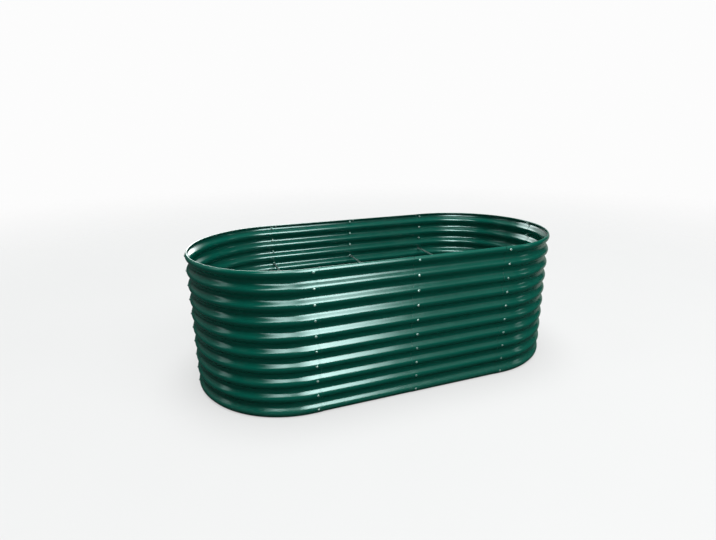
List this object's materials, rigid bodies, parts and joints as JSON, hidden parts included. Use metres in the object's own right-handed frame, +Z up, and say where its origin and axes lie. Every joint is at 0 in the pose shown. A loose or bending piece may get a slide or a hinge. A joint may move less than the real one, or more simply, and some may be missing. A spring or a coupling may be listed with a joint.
{
  "type": "raised garden bed",
  "caption": "Free-standing open-topped oval planter wall of corrugated painted steel panels, screwed together at lapped seams and crossed by steel tie rods.",
  "frame": {"origin": "on the ground, at the middle of the bed's outline", "axes": "+X along the bed from the left end to the right end, the pictured long side faces -Y, +Z up"},
  "size_m": [2.0766, 1.0056, 0.7238],
  "materials": {
    "painted_steel": "gloss dark green factory paint on galvanised sheet",
    "fasteners": "bright zinc plated",
    "tie_rods": "zinc plated bar"
  },
  "bodies": {
    "root": {"front_panel_left": "painted_steel", "front_panel_right": "painted_steel", "back_panel_left": "painted_steel", "back_panel_right": "painted_steel", "corner_panel_front_left": "painted_steel", "corner_panel_front_right": "painted_steel", "corner_panel_back_left": "painted_steel", "corner_panel_back_right": "painted_steel", "screws_front_left": "fasteners", "washers_front_left": "fasteners", "nuts_front_left": "fasteners", "screws_front_middle": "fasteners", "washers_front_middle": "fasteners", "nuts_front_middle": "fasteners", "screws_front_right": "fasteners", "washers_front_right": "fasteners", "nuts_front_right": "fasteners", "screws_back_left": "fasteners", "washers_back_left": "fasteners", "nuts_back_left": "fasteners", "screws_back_middle": "fasteners", "washers_back_middle": "fasteners", "nuts_back_middle": "fasteners", "screws_back_right": "fasteners", "washers_back_right": "fasteners", "nuts_back_right": "fasteners", "screws_end_left": "fasteners", "washers_end_left": "fasteners", "nuts_end_left": "fasteners", "screws_end_right": "fasteners", "washers_end_right": "fasteners", "nuts_end_right": "fasteners", "tie_rod_left_lower": "tie_rods", "tie_rod_left_upper": "tie_rods", "tie_rod_middle_lower": "tie_rods", "tie_rod_middle_upper": "tie_rods", "tie_rod_right_lower": "tie_rods", "tie_rod_right_upper": "tie_rods"}
  },
  "joints": []
}
